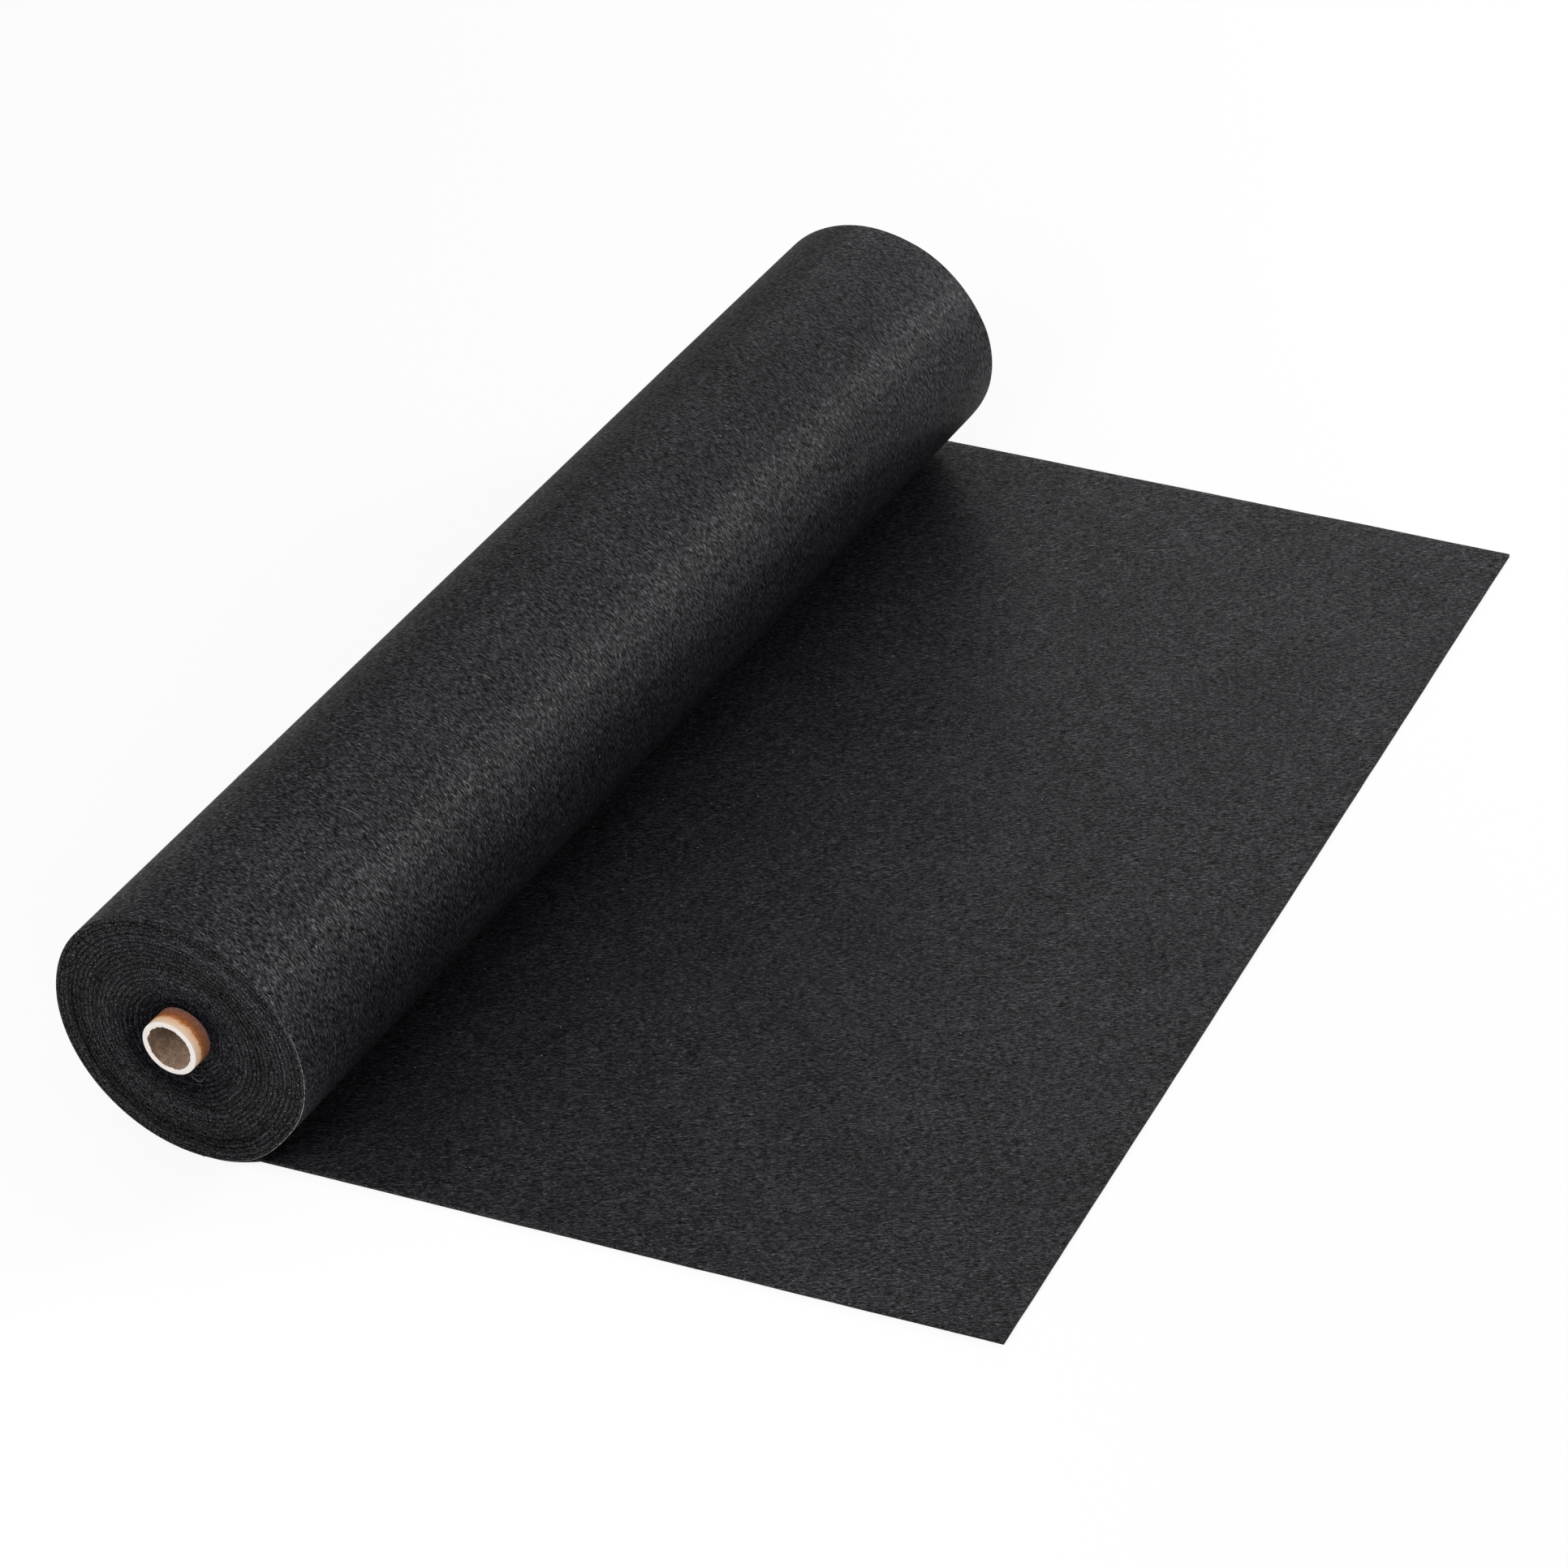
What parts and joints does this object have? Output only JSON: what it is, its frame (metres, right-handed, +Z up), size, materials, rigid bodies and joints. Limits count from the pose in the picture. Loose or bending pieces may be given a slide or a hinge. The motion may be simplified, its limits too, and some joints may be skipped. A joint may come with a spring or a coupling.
{
  "type": "geotextile roll",
  "caption": "Black needle-felt geotextile wound in a spiral on a cardboard core, with its free end laid out flat on the ground.",
  "frame": {"origin": "on the floor, under the middle of the roll and its laid cloth together", "axes": "+Y along the roll's axis, away from its near end; +X from the roll towards the cloth's free end; +Z up"},
  "size_m": [0.7016, 1.022, 0.1971],
  "materials": {
    "felt": "matte",
    "core_board": "matte",
    "tape": "satin"
  },
  "bodies": {
    "sheet": {"laid_sheet": "felt"},
    "web": {"run_off_web": "felt"},
    "roll": {"wound_cloth": "felt", "core_tube": "core_board", "start_tape": "tape"}
  },
  "joints": [
    {"name": "roll_travel", "type": "slide", "parent": "sheet", "child": "web", "axis": [-1, 0, 0], "range_m": [0, 0.624], "deforming": ["run_off_web"]},
    {"name": "roll_turn", "type": "hinge", "parent": "web", "child": "roll", "pos_m": [-0.25219, 0, 0.09932], "axis": [0, -1, 0], "range_deg": [0, 360]}
  ],
  "couplings": [
    {"joint": "roll_turn", "follows": "roll_travel", "rad_per_m": 10.068}
  ]
}
